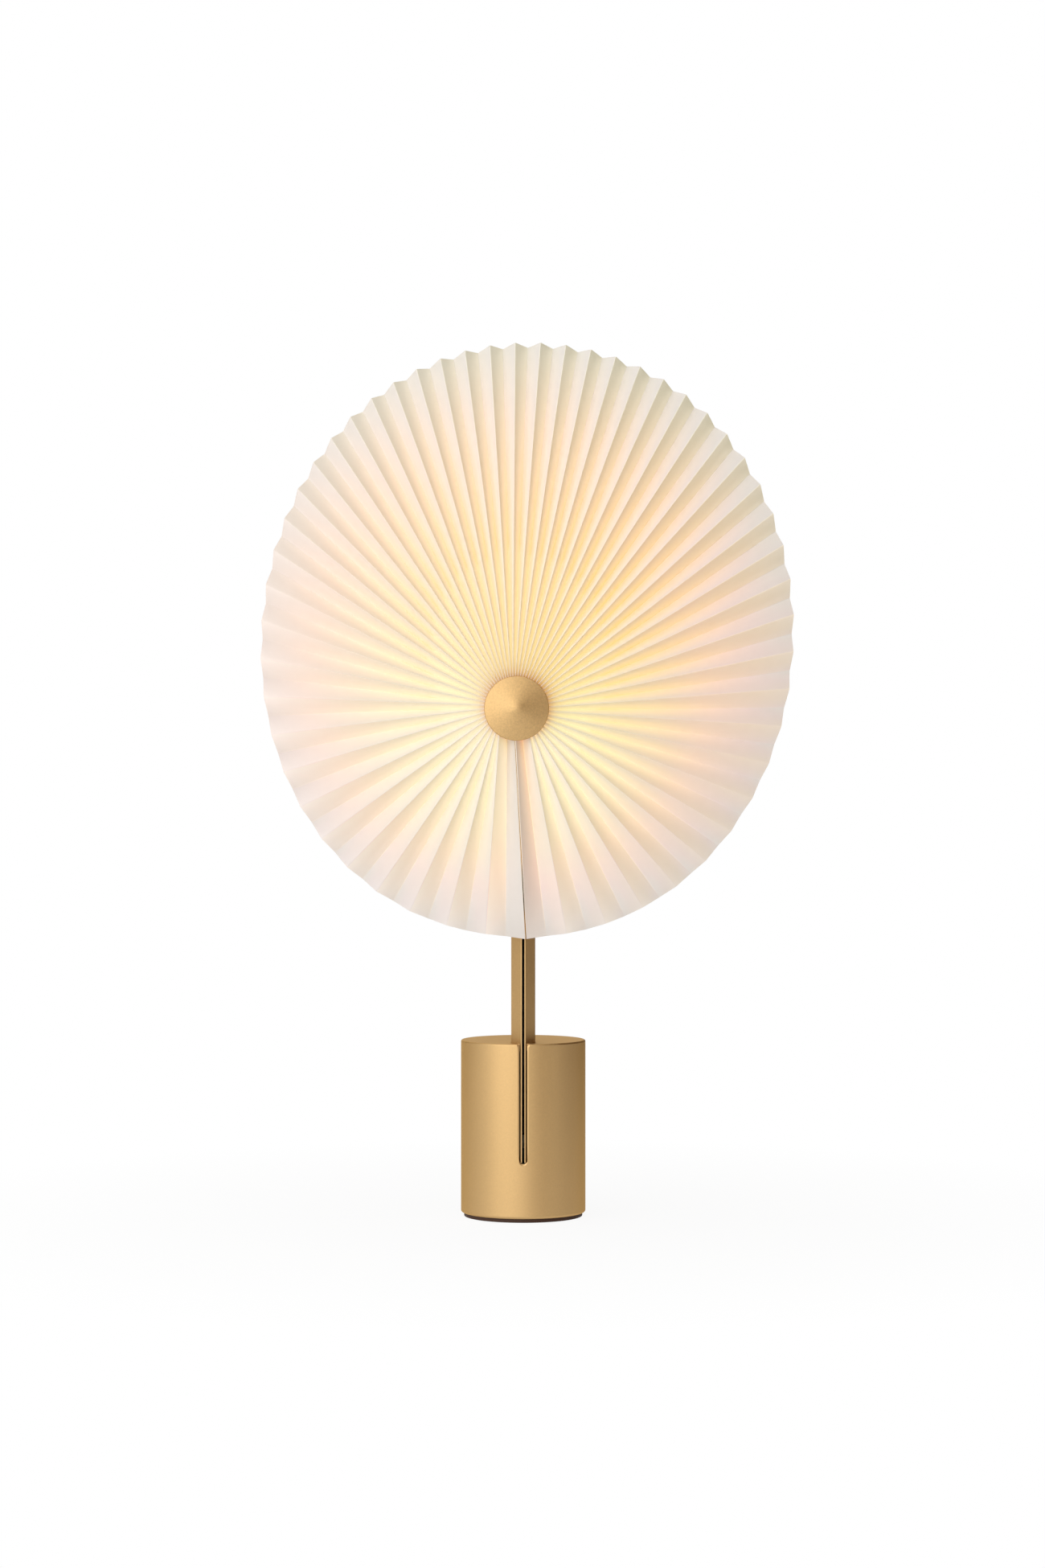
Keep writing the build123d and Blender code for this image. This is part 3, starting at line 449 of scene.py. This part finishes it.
# The rosette's folds
def oval_radius(angle):
    """Distance from the hub to the rosette's edge."""
    s, c = sin(OVAL_LEAN), cos(OVAL_LEAN)
    near, far = 0.0, OVAL_LONG
    for _ in range(HALVINGS):
        r = (near + far) / 2
        x, z = -r * sin(angle) - OVAL_OFF[0], -r * cos(angle) - OVAL_OFF[1]
        along = abs(x * s + z * c) / (OVAL_LONG / 2)
        across = abs(x * c - z * s) / (OVAL_SHORT / 2)
        if along ** OVAL_POWER + across ** OVAL_POWER > 1:
            far = r
        else:
            near = r
    return (near + far) / 2


def fold_angle(number):
    """Angle past the seam at which a fold meets the edge. A number counts pleats."""
    near, far = 0.0, 2 * pi
    for _ in range(HALVINGS):
        angle = (near + far) / 2
        count = PLEATS * angle / (2 * pi)
        for turn, (sine, cosine) in enumerate(CROWDING, 1):
            count += sine * sin(turn * angle) + cosine * (1 - cos(turn * angle))
        if count < number:
            near = angle
        else:
            far = angle
    return (near + far) / 2


def fan_angle(index):
    """Angle of a fold where it leaves the hub."""
    if index in (0, PANELS):
        return radians(FAN_SEAM) + (2 * pi if index else 0)
    if index in (1, PANELS - 1):
        return (fan_angle(index - 1) + fan_angle(index + 1)) / 2
    share = index / PANELS
    sway = FAN_SWAY[0] * sin(2 * pi * share) + FAN_SWAY[1] * (1 - cos(2 * pi * share))
    return radians(FAN_FROM + (FAN_TO - FAN_FROM) * (share + sway))


def fold_line(index):
    """Inner and outer end of one fold, in the plane of the rosette."""
    number = index / 2
    at_edge = SEAM_TURN + fold_angle(number)
    at_fan = fan_angle(index)
    reach = oval_radius(at_edge)
    if index in (0, PANELS):
        aside = SEAM_GAP / 2 if index == 0 else -SEAM_GAP / 2
        at_edge += aside / reach
        at_fan += aside / FAN_R
    crest = 1 if index % 2 == 0 else -1
    panel_angle = fold_angle(number + HALF_PANEL) - fold_angle(max(number - HALF_PANEL, 0))
    open_w = min(PANEL_W, reach * panel_angle)
    reach += crest * TIP_REACH * sqrt(max(PANEL_W ** 2 - open_w ** 2, 0))
    outer = Vector((-reach * sin(at_edge), 0, -reach * cos(at_edge)))
    way = (Vector((-FAN_R * sin(at_fan), 0, -FAN_R * cos(at_fan))) - outer).normalized()
    half = outer.dot(way)
    to_gather = -half - sqrt(half ** 2 - outer.dot(outer) + GATHER_R ** 2)
    return outer + way * to_gather, outer


def fold_row(lines, share):
    """All folds at one share of the way out. A panel keeps its width, so a narrow pleat is deep."""
    flat = [inner * (1 - share) + outer * share for inner, outer in lines]
    gaps = [(b - a).length for a, b in zip(flat, flat[1:])]
    depths = [sqrt(max(PANEL_W ** 2 - gap ** 2, FLATTEST ** 2)) for gap in gaps]
    row = []
    for index, point in enumerate(flat):
        beside = depths[max(index - 1, 0):index + 1]
        crest = -1 if index % 2 == 0 else 1
        row.append(Vector((point.x, crest * sum(beside) / len(beside) / 2, point.z)))
    return row


# The rosette's light
def painted_stem_shadow(place):
    """Painted shadow of the stem: share of each colour of the painted light behind that the stem lets by. A
    place counts panels along the strip.
    """
    from_end = PANELS - place
    if place < 1:
        return STEM_SHADOW_LEFT
    if from_end < 1:
        return [seam * (1 - from_end) + fold * from_end for seam, fold in zip(*STEM_SHADOW_RIGHT)]
    return STEM_SHADOW_NEXT if min(place, from_end) < 2 else (1, 1, 1)


def by_distance(away, colours):
    """Colour at a distance from the hub, between those at the three steps."""
    hub, middle, rim = GLOW_STEPS
    if away < middle:
        near, far, share = *colours[:2], max(away - hub, 0) / (middle - hub)
    else:
        near, far, share = *colours[1:], (away - middle) / (rim - middle)
    return [a * (1 - share) + b * share for a, b in zip(near, far)]


def open_share(across):
    """How far open a pleat is, from 0, shut, to 1, flat, by the way across one of its panels."""
    return min(sqrt(across.x ** 2 + across.z ** 2) / PANEL_W, 1)


def pleat_keeps(opened):
    """A pleat that is nearly shut keeps light between its panels, so it needs less painted light to look as
    bright.
    """
    return [1 - body * KEPT * (1 - opened) for body in LAMINATE]


def painted_back_light(at, across):
    """Painted light on the rosette's back, where the lamp's light falls on it."""
    colours = by_distance(sqrt(at.x ** 2 + at.z ** 2), PAINTED_BACK_GLOW)
    return (*(part * kept for part, kept in zip(colours, pleat_keeps(open_share(across)))), 1)


def room_light(facing, opened, deep):
    """Strength of the room's own light on the front."""
    even = sum(amount * opened ** power for power, amount in enumerate(ROOM_EVEN))
    return even + ROOM_FACING * facing * opened + (deep - 0.5) * (ROOM_DEEP[0] + ROOM_DEEP[1] * opened)


def painted_front_light(at, across, place, deep):
    """Painted light on the front: the lamp's light from behind the sheet, with painted key light, painted
    shade by the cap and the stem's painted shadow. It is what the room's light leaves of the whole.
    """
    away = sqrt(at.x ** 2 + at.z ** 2)
    face = across.cross(at).normalized()
    if face.y > 0:
        face.negate()
    facing = face.dot(KEY_WAY)
    opened = open_share(across)
    room = room_light(facing, opened, deep)
    under_cap = exp((FAN_R - away) / PAINTED_CAP_SHADE_FADE)
    # Painted shade that the cap casts on the deep folds above it
    kept_by_cap_shade = 1 - PAINTED_CAP_FOLD_SHADE * under_cap * deep * (1 + at.z / away) / 2
    # Share left by the stem's painted shadow
    stem_shadow_share, kept, colour = painted_stem_shadow(place), pleat_keeps(opened), []
    # Painted key light on facing panels, painted light on the left and below the hub, and painted shade
    # beside the cap
    for c, whole in enumerate(by_distance(away, WHOLE_COLOURS)):
        whole += WHOLE_FACING[c] * facing - WHOLE_LEFT[c] * at.x / away - PAINTED_CAP_SHADE[c] * under_cap
        whole -= (WHOLE_DOWN[c] + WHOLE_DOWN_FAR[c] * away / DOWN_FAR_AT) * at.z / away
        behind = max(min(whole, WHOLE_MOST[c]) - room * ROOM_TINT[c], 0)
        colour.append(behind * kept_by_cap_shade * stem_shadow_share[c] * kept[c])
    return (*colour, 1)


# The rosette's strip
def strip_points(lines):
    """Points of the strip row by row, their places on it laid flat, and the painted light on its front and
    back.
    """
    centre = Vector((HUB_X, SHADE_Y, HUB_Z))
    points, laid_flat, front, back = [], [], [], []
    for k in range(ROWS_ALONG + 1):
        share = k / ROWS_ALONG
        row = fold_row(lines, share)
        for j in range(PANELS + 1):
            along = share * (lines[j][1] - lines[j][0]).length
            panel = min(j, PANELS - 1)
            across = row[panel + 1] - row[panel]
            for u in PANEL_STOPS if j < PANELS else PANEL_STOPS[:1]:
                at = row[j].lerp(row[j + 1], u) if u else row[j].copy()
                if u == 0 and 0 < j < PANELS:
                    at = at.lerp((row[j - 1] + row[j + 1]) / 2, FOLD_PULL)
                deep = u if j % 2 == 0 else 1 - u
                points.append((at + centre) * MM)
                laid_flat.append(((j + u) * PANEL_W * MM, along * MM))
                front.append(painted_front_light(at, across, j + u, deep))
                back.append(painted_back_light(at, across))
    return points, laid_flat, front, back


def strip_faces():
    wide = PANELS * len(PANEL_STOPS) + 1
    return [
        (k * wide + i, k * wide + i + 1, (k + 1) * wide + i + 1, (k + 1) * wide + i)
        for k in range(ROWS_ALONG) for i in range(wide - 1)
    ]


def rosette():
    """One folded strip, with its folds a little soft and the thickness of the sheet.

    The thickness gives the strip a second half of points, and those are its back."""
    lines = [fold_line(index) for index in range(PANELS + 1)]
    points, laid_flat, front, back = strip_points(lines)
    mesh = bpy.data.meshes.new("pleated_rosette")
    mesh.from_pydata(points, [], strip_faces())
    uv = mesh.uv_layers.new(name="strip")
    for loop in mesh.loops:
        uv.data[loop.index].uv = laid_flat[loop.vertex_index]
    sheet = bpy.data.objects.new("pleated_rosette", mesh)
    bpy.context.scene.collection.objects.link(sheet)
    make_active(sheet)
    wall = sheet.modifiers.new("thickness", "SOLIDIFY")
    wall.thickness = SHEET_T * MM
    wall.offset = 0
    bpy.ops.object.modifier_apply(modifier=wall.name)
    painted_glow = sheet.data.attributes.new("painted_glow", "FLOAT_COLOR", "POINT")
    painted_glow.data.foreach_set("color", [part for colour in front + back for part in colour])
    bpy.ops.object.shade_smooth_by_angle(angle=SMOOTH_UNDER)
    deselect()
    sheet.data.materials.append(laminate())
    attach(sheet, "rosette")
    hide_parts("pleated_shade")


# Studio
def camera():
    seen = bpy.data.cameras.new("camera")
    seen.sensor_width = SENSOR
    seen.lens = FOCAL_PX / FRAME_TALL_PX * SENSOR
    stand = bpy.data.objects.new("camera", seen)
    stand.location = CAMERA_AT
    stand.rotation_euler = (pi / 2, 0, 0)
    bpy.context.scene.collection.objects.link(stand)
    bpy.context.scene.camera = stand


def soft_light(name, place, size, power):
    lamp = bpy.data.lights.new(name, "AREA")
    lamp.shape = "RECTANGLE"
    lamp.size, lamp.size_y = size
    lamp.energy = power
    stand = bpy.data.objects.new(name, lamp)
    stand.location = place
    stand.rotation_euler = (Vector(LIGHTS_AIM) - Vector(place)).to_track_quat("-Z", "Y").to_euler()
    bpy.context.scene.collection.objects.link(stand)


def white_where_seen(tree, lit, white, share=None):
    """Camera, glossy and transmission rays see white, or a share of it, and the rest the lit shader."""
    link = tree.links.new
    path = node(tree, "ShaderNodeLightPath")
    seen = path.outputs["Is Camera Ray"]
    for ray in ("Is Glossy Ray", "Is Transmission Ray"):
        seen = math_node(tree, "MAXIMUM", seen, path.outputs[ray])
    if share:
        seen = math_node(tree, "MULTIPLY", seen, share)
    mix = node(tree, "ShaderNodeMixShader")
    link(seen, mix.inputs["Fac"])
    link(lit.outputs[0], mix.inputs[1])
    link(white.outputs[0], mix.inputs[2])
    return mix.outputs[0]


def world():
    sky = bpy.data.worlds.new("studio")
    bpy.context.scene.world = sky
    sky.use_nodes = True
    tree = sky.node_tree
    fill = tree.nodes["Background"]
    fill.inputs["Color"].default_value = WHITE
    fill.inputs["Strength"].default_value = WORLD_LIGHT
    white = node(tree, "ShaderNodeBackground")
    white.inputs["Color"].default_value = WHITE
    tree.links.new(white_where_seen(tree, fill, white), tree.nodes["World Output"].inputs["Surface"])


def matt_paint(name, colour):
    material, tree, surface = blank_material(name)
    surface.inputs["Base Color"].default_value = (*colour, 1)
    surface.inputs["Roughness"].default_value = MATT
    return material, tree, surface


def floor():
    """White floor. Near the lamp it keeps part of its own shading, and so the lamp's shadow."""
    deselect()
    bpy.ops.mesh.primitive_plane_add(size=FLOOR_WIDE, location=(0, 0, 0))
    ground = bpy.context.object
    ground.name = "floor"
    material, tree, surface = matt_paint("white_floor", FLOOR_PALE)
    place = node(tree, "ShaderNodeTexCoord")
    away = node(tree, "ShaderNodeVectorMath", operation="LENGTH")
    tree.links.new(place.outputs["Object"], away.inputs[0])
    share = node(tree, "ShaderNodeMapRange")
    share.inputs["From Min"].default_value = SHADOW_FROM
    share.inputs["From Max"].default_value = SHADOW_TO
    share.inputs["To Min"].default_value = SHADOW_WHITE
    tree.links.new(away.outputs["Value"], share.inputs["Value"])
    white = node(tree, "ShaderNodeEmission")
    seen = white_where_seen(tree, surface, white, share.outputs["Result"])
    tree.links.new(seen, tree.nodes["Material Output"].inputs["Surface"])
    ground.data.materials.append(material)
    deselect()


def card(name, place, size, colour):
    """Board beside the lamp, that the metal sees and the camera does not."""
    deselect()
    bpy.ops.mesh.primitive_plane_add(size=1, location=place)
    board = bpy.context.object
    board.name = name
    board.scale = (*size, 1)
    board.rotation_euler = (Vector(CARDS_AIM) - Vector(place)).to_track_quat("Z", "Y").to_euler()
    board.visible_camera = False
    paint, _, _ = matt_paint(name + "_paint", colour)
    board.data.materials.append(paint)
    deselect()


dress_nodes()
rosette()
world()
floor()
camera()
for name, settings in LIGHTS.items():
    soft_light(name, *settings)
for name, settings in CARDS.items():
    card(name, *settings)

bpy.context.scene.view_settings.view_transform = "Standard"
